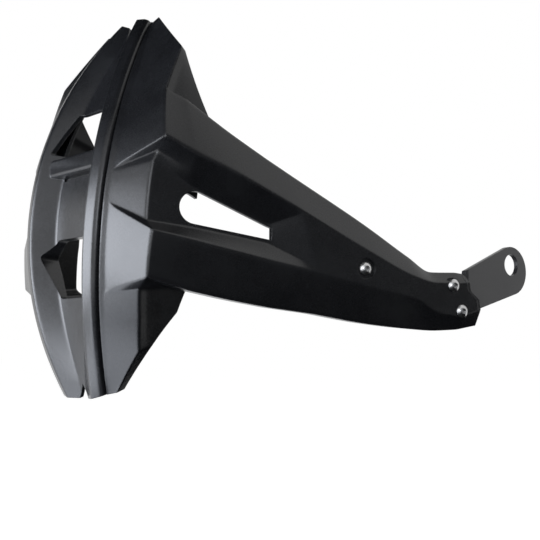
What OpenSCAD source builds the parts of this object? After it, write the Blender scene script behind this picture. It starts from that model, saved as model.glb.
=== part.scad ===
// Rear hugger mudguard: a moulded shield in three pieces, carried on one side by a long tapering
// arm that is screwed to a bent steel bracket. The bracket has a hole for an axle. The frame is
// +X forward, +Y to the left and +Z up, with the origin at the centre of the axle hole, on the
// bracket's outer face.

/* [Shield] */
// Radius of the ridge crests about the axle hole
crest_r = 349; // [340:1:362]
// Distance from the bracket's outer face to the shield's middle plane
shield_offset = 162.5; // [155:0.5:175]
// Thickness of the moulded walls
wall = 3; // [2.4:0.1:3.4]
// Angle of the shield's top edge above the axle hole
top_deg = 33.8; // [31:0.2:38]
// Angle of the shield's bottom edge below the axle hole
bottom_deg = 18.4; // [16:0.1:21]
// Angle at which the centre panel is widest
widest_deg = 6.5; // [4:0.5:10]
// Half width of the centre panel where it is widest
seam_mid = 54; // [50:0.5:58]
// Half width of the centre panel at its top edge
seam_top = 36; // [31:0.5:38]
// Half width of the centre panel at its bottom edge
seam_bottom = 30; // [28:0.5:37]
// How far the crests drop towards the ends of the shield
end_drop = 5; // [0:0.5:8]
// Width of the strip along each crest
strip_w = 12; // [9:0.5:14]
// Width of the bevel on the outer edge of the strip
bevel_w = 4; // [2:0.5:6]
// Width of the sloping flank inside each crest
flank_w = 18; // [14:0.5:20]
// Depth of the channel below the crests
channel_depth = 14; // [8:0.5:16]
// Depth of the channel at its top and bottom ends
end_channel = 5; // [3:0.5:8]
// Depth of the lip that closes the outer edge of the centre panel
lip_depth = 16; // [13:0.5:20]
// Depth of the V notch in the top edge
top_notch = 15; // [8:0.5:20]
// Depth of the V notch in the bottom edge
bottom_notch = 12; // [6:0.5:16]
// Half width of the notches at their mouths
notch_half = 5; // [3:0.5:8]
// How far the bottom edge runs to a point in the middle
bottom_point = 4; // [0:0.5:10]

/* [Vents] */
// Angle of the middle of the upper vent
upper_vent_deg = 17; // [15:0.5:19]
// Height of the upper vent along the shield
upper_vent_h = 36; // [26:1:40]
// Angle of the middle of the louvre bar
bar_deg = 12; // [11:0.5:13]
// Height of the louvre bar along the shield
bar_h = 15; // [12:0.5:20]
// How far the louvre bar stands proud of the channel
bar_proud = 8; // [5:0.5:10]
// Half width of the louvre bar at its upper edge
bar_half = 36; // [30:0.5:38]
// Angle of the lower vent's upper edge
lower_vent_deg = 2.2; // [1:0.2:4]
// Height of the lower vent along the shield
lower_vent_h = 46; // [36:1:52]
// Depth of the return flange round the lower vent, below the channel's floor
duct_depth = 8; // [4:0.5:10]

/* [Wings] */
// Half width of the wings at the arm's fingers
finger_half = 97; // [93:0.5:102]
// How far the trough between the fingers is sunk into the fold
fold_recess = 9; // [6:0.5:12]
// Gap between the centre panel and each wing
seam_gap = 1.5; // [0.8:0.1:2.5]
// How far the wings start below the crests
wing_step = 10; // [8:0.5:12]
// Width of the hidden flange that the centre panel sits on
flange_w = 17; // [14:0.5:18]
// Clearance between the hidden flange and the lip above it
seat_gap = 0.3; // [0.2:0.05:0.5]
// Deepest reach of the side skirts towards the axle hole
skirt_depth = 44; // [36:1:50]
// Depth of the skirt along the slanted edges of the wings
skirt_min = 8; // [6:0.5:12]

/* [Arm] */
// Angle by which the arm runs outward towards its front end
arm_splay = 15; // [13:0.25:17]
// Distance from the axle hole back to where the arm leaves the wing
arm_root = 325; // [318:1:332]
// How far the arm's top edge lies inboard of its crease at the wing
top_inset = 14; // [8:0.5:18]
// How far the arm's top edge lies inboard of its crease at the front
front_inset = 5; // [3:0.5:8]
// How far the arm's bottom edge is tucked in
bottom_inset = 6; // [3:0.5:10]
// Depth of the trough between the fingers
trough_depth = 9; // [6:0.5:11]
// Depth of the arm's inward flanges
arm_flange = 12; // [9:0.5:16]
// Height of the rounded rear end of the slot through the trough
slot_h = 24; // [16:0.5:26]

/* [Bracket] */
// Diameter of the axle hole
axle_hole_d = 18.5; // [17:0.5:20]
// Thickness of the bracket plate
plate_t = 4; // [3:0.5:5]
// Radius of the bracket's round end
plate_end_r = 20.6; // [19:0.2:24]
// How far the round end is centred below the axle hole
plate_end_drop = 4.9; // [2:0.1:6]
// Height of the arm's screw bosses
boss_h = 3; // [2:0.5:5]

/* [Fasteners] */
// Diameter of the arm screws' thread
arm_screw_d = 6; // [5:0.5:6]
// Diameter of the arm screws' button heads
arm_head_d = 10.5; // [9.5:0.5:11]
// Height of the arm screws' button heads
arm_head_h = 3.3; // [2.5:0.1:3.6]
// Width across the flats of the arm screws' nuts
nut_flats = 10; // [9:0.5:11]
// Height of the arm screws' nuts
nut_h = 5; // [4:0.5:6]
// Diameter of the round counterbore in the arm
counterbore_d = 16; // [13:0.5:18]
// Depth of the round counterbore in the arm
counterbore_depth = 1.5; // [0.8:0.1:1.8]
// Diameter of the panel screws' thread
panel_screw_d = 4; // [3.5:0.5:4.5]
// Diameter of the panel screws' pan heads
panel_head_d = 8; // [7:0.5:9]
// Height of the panel screws' pan heads
panel_head_h = 2.6; // [2:0.1:3]
// Diameter of the bosses inside the centre panel
panel_boss_d = 8; // [7:0.5:9]
// Clearance of a screw in the hole that it passes through
hole_clear = 0.3; // [0.2:0.05:0.4]

/* [Hidden] */
$fn = 48;
PANEL_SCREWS = 6;
ARM_SCREWS = 3;

// Spacing of the rows of facets round the shield, in degrees
row_step = 1.6;
crest_flat_drop = 1.5;
bevel_drop = 7;
floor_half_min = 4;
// How deep one body reaches into another that it is moulded with
bite = 1;
thread_play = 0.05;
head_play = 0.1;
panel_head_play = 0.3;

plastic = [0.2, 0.21, 0.23];
steel_black = [0.12, 0.12, 0.13];
zinc = [0.75, 0.76, 0.78];

function lerp(a, b, t) = a + (b - a) * t;
function unit(v) = v / norm(v);
function edge_normal(a, b) = let (d = unit(b - a)) [-d.y, d.x];

// Moves an open outline sideways by t, with mitred corners
function offset_open(p, t) = [
    for (i = [0 : len(p) - 1])
        let (
            n1 = i == 0 ? edge_normal(p[0], p[1]) : edge_normal(p[i - 1], p[i]),
            n2 = i == len(p) - 1 ? n1 : edge_normal(p[i], p[i + 1]),
            m = unit(n1 + n2)
        )
        p[i] + m * t / (m * n1)
];

// A point at an angle above the axle hole, a radius and a distance outward to the right
function arc_point(deg, r, out) = [-r * cos(deg), -out, r * sin(deg)];
function arc_mm(deg) = deg * PI / 180 * crest_r;

// Share of the way from the widest place to the top or the bottom edge
function end_share(deg) = deg > widest_deg
    ? (deg - widest_deg) / (top_deg - widest_deg)
    : (widest_deg - deg) / (widest_deg + bottom_deg);
function seam_half(deg) =
    seam_mid - (seam_mid - (deg > widest_deg ? seam_top : seam_bottom)) * pow(end_share(deg), 2);
function crest(deg) = crest_r - end_drop * pow(end_share(deg), 2);
function floor_half(deg) = max(floor_half_min, seam_half(deg) - strip_w - flank_w);
function floor_r(deg) =
    crest(deg) - channel_depth + (channel_depth - end_channel) * pow(end_share(deg), 3);

// A wall between two grids of points, closed along all four edges
module sheet(outer, inner) {
    rows = len(outer);
    cols = len(outer[0]);
    function id(side, i, j) = side * rows * cols + i * cols + j;
    outer_faces = [
        for (i = [0 : rows - 2], j = [0 : cols - 2]) each [
            [id(0, i, j), id(0, i + 1, j + 1), id(0, i, j + 1)],
            [id(0, i, j), id(0, i + 1, j), id(0, i + 1, j + 1)]
        ]
    ];
    inner_faces = [
        for (i = [0 : rows - 2], j = [0 : cols - 2]) each [
            [id(1, i, j), id(1, i, j + 1), id(1, i + 1, j + 1)],
            [id(1, i, j), id(1, i + 1, j + 1), id(1, i + 1, j)]
        ]
    ];
    row_ends = [
        for (j = [0 : cols - 2]) each [
            [id(0, 0, j), id(0, 0, j + 1), id(1, 0, j + 1)],
            [id(0, 0, j), id(1, 0, j + 1), id(1, 0, j)],
            [id(0, rows - 1, j + 1), id(0, rows - 1, j), id(1, rows - 1, j)],
            [id(0, rows - 1, j + 1), id(1, rows - 1, j), id(1, rows - 1, j + 1)]
        ]
    ];
    col_ends = [
        for (i = [0 : rows - 2]) each [
            [id(0, i + 1, 0), id(0, i, 0), id(1, i, 0)],
            [id(0, i + 1, 0), id(1, i, 0), id(1, i + 1, 0)],
            [id(0, i, cols - 1), id(0, i + 1, cols - 1), id(1, i + 1, cols - 1)],
            [id(0, i, cols - 1), id(1, i + 1, cols - 1), id(1, i, cols - 1)]
        ]
    ];
    polyhedron(
        concat([for (r = outer) each r], [for (r = inner) each r]),
        concat(outer_faces, inner_faces, row_ends, col_ends),
        convexity = 10
    );
}

// Places children on the shield, with +X up along it, +Y to the left and +Z outward
module on_shield(deg, out, r) {
    translate([0, -out, 0])
        rotate([0, deg, 0])
            translate([-r, 0, 0])
                rotate([0, -90, 0])
                    children();
}

// Cross section of the centre panel, from its left lip to its right lip
function centre_section(deg) =
    let (
        s = seam_half(deg),
        half = [
            [floor_half(deg), floor_r(deg)],
            [s - strip_w, crest(deg)],
            [s - bevel_w, crest(deg) - crest_flat_drop],
            [s, crest(deg) - bevel_drop],
            [s, crest(deg) - lip_depth]
        ]
    )
    concat([for (i = [4 : -1 : 0]) [-half[i].x, half[i].y]], half);

// The bottom edge runs to a point in the middle
function centre_bottom(out, deg) =
    -bottom_deg - bottom_point * (1 - abs(out) / seam_half(deg)) / arc_mm(1);

function centre_rows() = let (n = ceil((top_deg + bottom_deg) / row_step)) [for (i = [0 : n]) i / n];

module centre_shell(depth_only = false) {
    section_at = function (t) centre_section(lerp(-bottom_deg, top_deg, t));
    deg_at = function (t, out)
        let (deg = lerp(-bottom_deg, top_deg, t)) lerp(centre_bottom(out, deg), top_deg, t);
    outer = [for (t = centre_rows()) [for (p = section_at(t)) arc_point(deg_at(t, p.x), p.y, p.x)]];
    inner = [
        for (t = centre_rows())
            let (section = section_at(t), inside = offset_open(section, -wall))
            [
                for (i = [0 : len(section) - 1])
                    let (
                        p = section[i],
                        q = depth_only ? [p.x, crest_r - channel_depth - duct_depth] : inside[i]
                    )
                    arc_point(deg_at(t, p.x), q.y, q.x)
            ]
    ];
    sheet(outer, inner);
}

// Outlines of the vents, as heights from the vent's datum and half widths, from the top down
upper_vent_rows = [[upper_vent_h / 2, 21], [0, 29], [-upper_vent_h / 2, bar_half]];
lower_vent_rows = [[0, 20], [-8, 28], [-13, 34], [-lower_vent_h, 17]];

// An outline as seen from outside: +X up along the shield, +Y to the left
function vent_outline(rows, margin = 0) =
    let (
        last = len(rows) - 1,
        grown = [
            for (i = [0 : last])
                [rows[i].x + (i == 0 ? margin : i == last ? -margin : 0), rows[i].y + margin]
        ]
    )
    concat([for (p = grown) [p.x, -p.y]], [for (i = [last : -1 : 0]) grown[i]]);

module louvre_bar() {
    bottom_half = bar_half * 2 / 3;
    on_shield(bar_deg, 0, crest_r - channel_depth - wall)
        difference() {
            linear_extrude(wall + bar_proud)
                polygon([
                    [bar_h / 2, -bar_half], [bar_h / 2, bar_half],
                    [-bar_h / 2, bottom_half], [-bar_h / 2, -bottom_half]
                ]);
            translate([0, 0, -wall])
                linear_extrude(wall + bar_proud)
                    polygon([
                        [bar_h / 2 - wall, -bottom_half], [bar_h / 2 - wall, bottom_half],
                        [wall - bar_h / 2, bottom_half - wall], [wall - bar_h / 2, wall - bottom_half]
                    ]);
        }
}

duct_wall = 2.1;
module lower_duct() {
    intersection() {
        centre_shell(depth_only = true);
        on_shield(lower_vent_deg, 0, crest_r - channel_depth - duct_depth - bite)
            linear_extrude(channel_depth + duct_depth + 2 * bite)
                difference() {
                    polygon(vent_outline(lower_vent_rows, duct_wall));
                    polygon(vent_outline(lower_vent_rows));
                }
    }
}

module notch(depth) {
    linear_extrude(2 * lip_depth + channel_depth)
        polygon([[-depth, 0], [2 * bite, -notch_half], [2 * bite, notch_half]]);
}

// Angles of the panel screws, the same on both sides
panel_screw_degs = [24, 6, -12];
function panel_screw_out(deg) = seam_half(deg) - strip_w / 2 - bevel_w / 2;
module at_panel_screws(side, r_from_crest) {
    for (deg = panel_screw_degs)
        on_shield(deg, side * panel_screw_out(deg), crest(deg) - r_from_crest)
            children();
}

module centre_panel() {
    color(plastic)
        translate([0, shield_offset, 0])
            difference() {
                union() {
                    centre_shell();
                    louvre_bar();
                    lower_duct();
                    for (side = [-1, 1])
                        at_panel_screws(side, lip_depth)
                            cylinder(h = lip_depth - wall, d = panel_boss_d);
                }
                on_shield(upper_vent_deg, 0, crest_r - channel_depth - 2 * wall)
                    linear_extrude(channel_depth + 3 * wall)
                        polygon(vent_outline(upper_vent_rows));
                on_shield(lower_vent_deg, 0, crest_r - channel_depth - duct_depth - 2 * bite)
                    linear_extrude(channel_depth + duct_depth + 3 * bite)
                        polygon(vent_outline(lower_vent_rows));
                on_shield(top_deg, 0, crest_r - channel_depth - lip_depth)
                    notch(top_notch);
                on_shield(-bottom_deg, 0, crest_r - channel_depth - lip_depth)
                    translate([-bottom_point, 0, 0])
                        mirror([1, 0, 0])
                            notch(bottom_notch);
                for (side = [-1, 1])
                    at_panel_screws(side, lip_depth + bite)
                        cylinder(h = lip_depth - wall - bite, d = panel_screw_d + 2 * thread_play);
            }
}

// Rows of the wing from bottom to top: angle at the seam, angle at the fold, half width at the
// fold, drop of the fold below the crests, and share of the full skirt depth
finger_drop = 24;
wing_tip = 10.5;
wing_keys = [
    [-bottom_deg, -bottom_deg + 0.1, seam_bottom + wing_tip, 15, 0],
    [-13.2, -13.2, 68, 24.5, 0.1],
    [-9, -9, 74, 25, 0.75],
    [-5.6, -5.2, 80, 23.5, 1],
    [-5.2, -3.9, finger_half - 5, 22.4, 1],
    [5.9, 2.1, finger_half, finger_drop, 1],
    [6.2, 3.4, finger_half - fold_recess, finger_drop + 0.5, 1],
    [9.4, 11.2, finger_half - fold_recess, finger_drop, 1],
    [9.9, 14.3, finger_half + 1, finger_drop, 1],
    [18.8, 21.2, finger_half - top_inset + 3, 20, 1],
    [25.5, 27.4, 88, 17.7, -0.08],
    [top_deg - 0.3, top_deg - 0.8, seam_top + wing_tip, 14, 0]
];
LOWER_FINGER_BOTTOM = 4;
LOWER_FINGER_TOP = 5;
TROUGH_BOTTOM = 6;
TROUGH_TOP = 7;
UPPER_FINGER_CREASE = 8;
UPPER_FINGER_TOP = 9;

// Keys and the rows between them
function wing_rows() = concat(
    [
        for (k = [0 : len(wing_keys) - 2])
            let (
                a = wing_keys[k],
                b = wing_keys[k + 1],
                n = max(1, round(max(abs(b[0] - a[0]), abs(b[1] - a[1])) / row_step))
            )
            for (i = [0 : n - 1]) lerp(a, b, i / n)
    ],
    [wing_keys[len(wing_keys) - 1]]
);

// Where a blade starts to rise, as a share of the way from the seam to the fold
blade_share = 0.2;
wing_slope = 0.34;
skirt_tuck = 2;

// Cross section of a wing, from the hidden flange out over the fold and down the skirt
function wing_section(row) =
    let (
        deg = row[0],
        start = seam_half(deg) + seam_gap,
        flange_r = crest(deg) - lip_depth - seat_gap,
        edge_r = crest(deg) - wing_step,
        blade = lerp(start, row[2], blade_share),
        fold_r = crest_r - row[3],
        skirt = skirt_min + (skirt_depth - skirt_min) * row[4],
        skirt_out = min(row[2], finger_half - fold_recess)
    )
    [
        [start - flange_w, flange_r],
        [start, flange_r],
        [start, edge_r],
        [blade, edge_r - wing_slope * (blade - start)],
        [row[2], fold_r],
        [skirt_out - skirt_tuck / 2, fold_r - min(skirt_min * 0.9, skirt / 2)],
        [skirt_out - skirt_tuck, fold_r - skirt]
    ];
function wing_degs(row) = [
    row[0], row[0], row[0], lerp(row[0], row[1], blade_share), row[1], row[1], row[1]
];

module wing_shell() {
    outer = [
        for (row = wing_rows())
            let (section = wing_section(row), degs = wing_degs(row))
            [for (i = [0 : len(section) - 1]) arc_point(degs[i], section[i].y, section[i].x)]
    ];
    inner = [
        for (row = wing_rows())
            let (section = offset_open(wing_section(row), -wall), degs = wing_degs(row))
            [for (i = [0 : len(section) - 1]) arc_point(degs[i], section[i].y, section[i].x)]
    ];
    difference() {
        sheet(outer, inner);
        at_panel_screws(1, lip_depth + 2 * wall)
            cylinder(h = 3 * wall, d = panel_screw_d + 2 * hole_clear);
    }
}

// Distance from the shield's middle plane out to the arm's flat outer face
function arm_out(x) = finger_half + (x + arm_root) * tan(arm_splay);
function arm_inset(x) = lerp(top_inset, front_inset, (x + arm_root) / arm_root);

// The inward flanges end where the bracket comes out between them
flange_end_x = -80;
front_flange = 3.5;
function flange_at(x) = x < flange_end_x ? arm_flange : front_flange;

// Stations along the arm: place of the crease, lean of the station, heights of the top edge,
// crease, trough's upper and lower corners, lower crease and bottom edge, and trough share
arm_stations = [
    [-293, 0, 112, 69, 47, 16.5, 5.5, -31, 1],
    [-262, 0, 91, 57, 33.5, 12, -1, -37, 1],
    [-231, 0, 72, 42.5, 21.5, 7, -7.5, -42, 1],
    [-211, 15, 60.5, 33.5, 30, -10, -14.5, -46, 0],
    [-150, 0, 25.5, 2.5, -6, -15, -24, -53, 0],
    [-112, 0, 1.5, -14.5, -20, -26, -32, -56.5, 0],
    [-92, 0, -10, -19, -27, -35, -43, -57.5, 0],
    [-70, 0, -9.5, -19, -28, -37, -46, -56.5, 0],
    [-62, 10, -10.5, -18, -25, -32, -40, -53, 0]
];

// The eight corners of the arm's section at a station
function arm_section(st) =
    let (x = st[0], xl = st[0] + st[1], x_top = st[0] + st[1] * 0.1, x_low = st[0] + st[1] * 0.9)
    [
        [x, arm_out(x) - arm_inset(x) - flange_at(x), st[2] - 2],
        [x, arm_out(x) - arm_inset(x), st[2]],
        [x, arm_out(x), st[3]],
        [x_top, arm_out(x_top) - trough_depth * st[8], st[4]],
        [x_low, arm_out(x_low) - trough_depth * st[8], st[5]],
        [xl, arm_out(xl), st[6]],
        [xl, arm_out(xl) - bottom_inset, st[7]],
        [xl, arm_out(xl) - bottom_inset - flange_at(x), st[7] + 1]
    ];

// The arm's edges are thinner where the bracket lies between them
edge_thin_x = -120;
edge_thin = 0.4;

// Shares of the wall by which each corner moves inboard and up to its partner inside
function arm_shifts(trough, edge) = [
    [0, -1], [edge, -1.05],
    lerp([1.1, -0.3], [1.6, -0.1], trough), lerp([1, 0], [1, 0.9], trough),
    lerp([1, 0], [1, -0.9], trough), lerp([1.1, 0.2], [1.3, 0.1], trough),
    [edge, 1], [0, 1]
];

// The corners where the arm grows out of the wing's fold, a little inside its wall
function root_corner(key) =
    let (row = wing_keys[key], r = crest_r - row[3])
    [-r * cos(row[1]) - bite, row[2] - bite, r * sin(row[1])];
function root_section() =
    let (top = root_corner(UPPER_FINGER_TOP), low = root_corner(LOWER_FINGER_BOTTOM))
    [
        [top.x, top.y - arm_flange, top.z - 2],
        top,
        root_corner(UPPER_FINGER_CREASE),
        root_corner(TROUGH_TOP),
        root_corner(TROUGH_BOTTOM),
        root_corner(LOWER_FINGER_TOP),
        low,
        [low.x, low.y - arm_flange, low.z + 1]
    ];

function to_frame(p) = [p.x, -p.y, p.z];
function shift_in(section, trough, dx, inboard) =
    let (shifts = arm_shifts(trough, section[0].x < edge_thin_x ? 1 : edge_thin))
    [for (i = [0 : len(section) - 1]) section[i] + [dx, -inboard * shifts[i].x, wall * shifts[i].y]];

// The front end turns inward to the bracket, to an even depth
front_turn = wall + boss_h - seat_gap;
front_lap = 0.5;
front_turns = [
    front_lap, front_lap, front_turn, front_turn, front_turn, front_turn, front_lap, front_lap
];
function front_section() =
    let (section = arm_section(arm_stations[len(arm_stations) - 1]))
    [for (i = [0 : len(section) - 1]) section[i] - [0, front_turns[i], 0]];

module arm_shell() {
    last = len(arm_stations) - 1;
    sections = concat(
        [root_section()],
        [for (st = arm_stations) arm_section(st)],
        [front_section()]
    );
    troughs = concat([1], [for (st = arm_stations) st[8]], [0]);
    outer = [for (s = sections) [for (p = s) to_frame(p)]];
    inner = [
        for (i = [0 : len(sections) - 1])
            let (
                at_front = i > last,
                turned = i == len(sections) - 1
            )
            [
                for (p = shift_in(sections[i], troughs[i], at_front ? -wall : 0, turned ? 0 : wall))
                    to_frame(p)
            ]
    ];
    sheet(outer, inner);
}

// Places children on the arm's outer face, with +X forward along it and +Z outward
module on_arm(x, z, depth = 0) {
    translate([x, -arm_out(x), z])
        rotate([90, 0, -arm_splay])
            translate([0, 0, -depth])
                children();
}

// Places of the arm's screws: distance behind the axle hole, height, and depth of the head's seat
arm_screw_places = [
    [-156, -10, counterbore_depth],
    [-77.5, -21, 0],
    [-70, -41.5, 0]
];
plate_depth = wall + boss_h;
arm_boss_d = arm_head_d + 3;

// The slot through the trough: centre of its rear end, and the two corners of its front end
slot_rear = [-288, 30.5];
slot_front = [[-229, 9.5], [-229, 18.5]];
module slot_cut() {
    rotate([90, 0, 0])
        linear_extrude(2 * finger_half)
            hull() {
                translate(slot_rear)
                    circle(d = slot_h);
                polygon(concat([slot_rear], slot_front));
            }
}

module right_panel() {
    color(plastic)
        translate([0, shield_offset, 0])
            difference() {
                union() {
                    wing_shell();
                    arm_shell();
                    for (place = arm_screw_places)
                        on_arm(place.x, place.y, plate_depth)
                            cylinder(h = boss_h + wall / 2, d = arm_boss_d);
                }
                slot_cut();
                for (place = arm_screw_places)
                    on_arm(place.x, place.y, plate_depth + bite)
                        cylinder(h = plate_depth + 2 * bite, d = arm_screw_d + 2 * hole_clear);
                on_arm(arm_screw_places[0].x, arm_screw_places[0].y, counterbore_depth)
                    cylinder(h = counterbore_depth + bite, d = counterbore_d);
            }
}

module left_panel() {
    color(plastic)
        translate([0, shield_offset, 0])
            mirror([0, 1, 0])
                wing_shell();
}

// Where the bracket's bent leg meets its flat leg
bend_x = -arm_root
    + (shield_offset - finger_half + plate_depth / cos(arm_splay)) / tan(arm_splay);
leg_rear_x = -172;
plate_front_x = 24;
strip_reach = 4 * plate_end_r;

module bracket_strip() {
    leg = bend_x - leg_rear_x;
    inner_bend = bend_x - plate_t * tan(arm_splay / 2);
    inner_rear = [leg_rear_x, leg * tan(arm_splay) + plate_t / cos(arm_splay)];
    translate([0, 0, -strip_reach])
        linear_extrude(2 * strip_reach)
            polygon([
                [plate_front_x, 0], [plate_front_x, plate_t], [inner_bend, plate_t], inner_rear,
                [leg_rear_x, leg * tan(arm_splay)], [bend_x, 0]
            ]);
}

// Outline of the bracket seen from the right, between its round ends
bracket_rear_r = 11;
bracket_top = [
    [-7.8, plate_end_r - plate_end_drop - 1.5], [-60.2, -7.8], [-61.6, -16], [-78, -16.3], [-100, -18]
];
bracket_low = [
    [-100, -40], [-76, -49.3], [-66, -49.3], [-45, -39],
    [5.6, 0.8 - plate_end_drop - plate_end_r], [0, 0]
];
module bracket_outline() {
    rear = [arm_screw_places[0].x, arm_screw_places[0].y];
    translate([0, -plate_end_drop])
        circle(r = plate_end_r);
    translate(rear)
        circle(r = bracket_rear_r);
    polygon(concat(
        bracket_top,
        [rear + [0, bracket_rear_r], rear - [0, bracket_rear_r]],
        bracket_low
    ));
}

module bracket() {
    color(steel_black)
        difference() {
            intersection() {
                bracket_strip();
                translate([0, strip_reach, 0])
                    rotate([90, 0, 0])
                        linear_extrude(2 * strip_reach)
                            bracket_outline();
            }
            translate([0, -bite, 0])
                rotate([-90, 0, 0])
                    cylinder(h = plate_t + 2 * bite, d = axle_hole_d);
            translate([0, shield_offset, 0])
                for (place = arm_screw_places)
                    on_arm(place.x, place.y, plate_depth + plate_t + bite)
                        cylinder(h = plate_t + 2 * bite, d = arm_screw_d + 2 * hole_clear);
        }
}

module arm_screw(place) {
    socket_flats = 4;
    thread_len = plate_depth - place.z + plate_t + nut_h + bite;
    color(zinc)
        translate([0, shield_offset, 0])
            on_arm(place.x, place.y, place.z - head_play)
                difference() {
                    union() {
                        rotate_extrude()
                            intersection() {
                                translate([0, arm_head_h - arm_head_d * 0.62])
                                    circle(r = arm_head_d * 0.62);
                                square([arm_head_d / 2, arm_head_h]);
                            }
                        translate([0, 0, -thread_len])
                            cylinder(h = thread_len + bite, d = arm_screw_d);
                    }
                    translate([0, 0, arm_head_h - 2])
                        cylinder(h = 3, d = socket_flats / cos(30), $fn = 6);
                }
}

module arm_nut(place) {
    color(zinc)
        translate([0, shield_offset, 0])
            on_arm(place.x, place.y, plate_depth + plate_t + nut_h + head_play)
                difference() {
                    cylinder(h = nut_h, d = nut_flats / cos(30), $fn = 6);
                    translate([0, 0, -bite])
                        cylinder(h = nut_h + 2 * bite, d = arm_screw_d + 2 * thread_play);
                }
}

// Cross recess in the panel screws' heads
cross_w = 1;
cross_depth = 1.4;

module panel_screw(index) {
    side = index < 3 ? 1 : -1;
    deg = panel_screw_degs[index % 3];
    grip = wall + seat_gap + panel_head_play;
    thread_len = grip + lip_depth - 3 * wall;
    color(zinc)
        translate([0, shield_offset, 0])
            on_shield(deg, side * panel_screw_out(deg), crest(deg) - lip_depth - grip)
                difference() {
                    union() {
                        translate([0, 0, -panel_head_h])
                            cylinder(h = panel_head_h, d = panel_head_d);
                        cylinder(h = thread_len, d = panel_screw_d);
                    }
                    translate([0, 0, -panel_head_h - bite])
                        for (turn = [0, 90])
                            rotate([0, 0, turn])
                                translate([-panel_head_d / 4, -cross_w / 2, 0])
                                    cube([panel_head_d / 2, cross_w, bite + cross_depth]);
                }
}

centre_panel();
right_panel();
left_panel();
bracket();
for (i = [0 : ARM_SCREWS - 1]) {
    arm_screw(arm_screw_places[i]);
    arm_nut(arm_screw_places[i]);
}
for (i = [0 : PANEL_SCREWS - 1])
    panel_screw(i);
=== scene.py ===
import math

import bmesh
import bpy
import numpy as np
from mathutils import Matrix, Vector


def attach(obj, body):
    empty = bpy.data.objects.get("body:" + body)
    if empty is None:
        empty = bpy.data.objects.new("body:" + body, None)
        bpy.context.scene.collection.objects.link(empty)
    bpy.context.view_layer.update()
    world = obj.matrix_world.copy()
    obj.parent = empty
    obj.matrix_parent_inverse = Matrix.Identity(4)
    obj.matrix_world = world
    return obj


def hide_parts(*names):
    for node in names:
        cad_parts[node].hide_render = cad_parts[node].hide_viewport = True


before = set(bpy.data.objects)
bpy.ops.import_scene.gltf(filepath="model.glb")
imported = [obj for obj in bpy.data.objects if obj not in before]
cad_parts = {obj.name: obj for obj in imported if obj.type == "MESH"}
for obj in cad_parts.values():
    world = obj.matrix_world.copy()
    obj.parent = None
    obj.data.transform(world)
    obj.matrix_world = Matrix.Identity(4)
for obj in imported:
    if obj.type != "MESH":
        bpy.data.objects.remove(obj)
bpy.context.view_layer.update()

scene = bpy.context.scene

# Sizes are in millimetres and angles in degrees above the axle hole, close to those of the solids.
# Points are built about the shield's middle plane and moved to the part's frame when a mesh is
# made. A distance outward, or out, is measured from that plane.
MM = 0.001
SHIELD_OFFSET = 162.5
WALL = 3.0

# Shield: radius of the crests about the axle hole and how far they drop towards its ends
CREST_R = 349.0
END_DROP = 5.0
TOP_DEG = 34.2
WIDEST_DEG = 6.5
BOTTOM_DEG = 18.4

# Half widths of the centre panel, and the powers with which it narrows towards its ends
SEAM_MID = 54.0
SEAM_TOP = 23.0
SEAM_TOP_POWER = 2.2
SEAM_BOTTOM = 30.0
SEAM_BOTTOM_POWER = 2

# Section of the centre panel: the strip outside each crest and the bevel on its edge, with their
# drops below the crest, the flank inside each crest, the channel, and the lip at the edge
STRIP_W = 12.0
STRIP_DROP = 2.3
BEVEL_W = 3.0
BEVEL_DROP = 4.8
FLANK_W = 18.0
FLOOR_HALF_MIN = 4.0
CHANNEL_DEPTH = 14.0
END_CHANNEL = 5.0
LIP_DEPTH = 16.0
CHANNEL_R = CREST_R - CHANNEL_DEPTH

# V notches in the two edges, and how far the bottom edge runs to a point in the middle
TOP_NOTCH = 15.0
TOP_NOTCH_HALF = 6.0
BOTTOM_NOTCH = 12.0
BOTTOM_NOTCH_HALF = 8.5
BOTTOM_POINT = 4.0

# Vents, as heights from the vent's datum and half widths, from the top down
UPPER_VENT_DEG = 17.0
UPPER_VENT = [(18.0, 21.0), (0.0, 29.0), (-18.0, 36.0)]
UPPER_VENT_CUT = 8.0
LOWER_VENT_DEG = 2.2
LOWER_VENT = [(0.0, 20.0), (-8.0, 28.0), (-13.0, 34.0), (-46.0, 17.0)]
VENT_CORNER = 3.0

# Return flange round the lower vent, which starts a little below the panel's face
DUCT_DEPTH = 8.0
DUCT_WALL = 2.1
DUCT_SINK = 0.5

# Louvre bar, with its rounded edge as steps in from its outline and down from its face
BAR_DEG = 12.0
BAR_H = 15.0
BAR_HALF = 39.5
BAR_LOW_HALF = 33.0
BAR_PROUD = 8.0
BAR_SINK = 0.4
BAR_CORNER = 2.0
BAR_EDGE = [(0, 2), (0.25, 1.1), (0.8, 0.4), (1.6, 0.06), (2.4, 0)]

# Groove in the channel's floor, under the louvre bar
GROOVE_H = 2.6
GROOVE_DEPTH = 1.7
GROOVE_CLEAR = 2.5
GROOVE_HALF = 22.0
GROOVE_LOW_HALF = 21.0

# Wings: half width at the arm's fingers, how far the fold is sunk between them, gap and step beside
# the centre panel, the blade next to it and its slope, and the hidden flange under its lip
FINGER_HALF = 97.0
FOLD_RECESS = 9.0
SEAM_GAP = 1.2
WING_STEP = 6.4
BLADE_SHARE = 0.12
WING_SLOPE = 0.62
FLANGE_W = 17.0
SEAT_GAP = 0.3
# Skirts behind the fold: deepest and least reach, shoulder below the fold, and inward lean
SKIRT_DEPTH = 44.0
SKIRT_MIN = 8.0
SHOULDER = 7.2
SHOULDER_MIN = 1.0
SKIRT_TUCK = 2.0
# The wall's share of a wing's width near its narrow tips
TIP_WALL = 0.2

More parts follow.
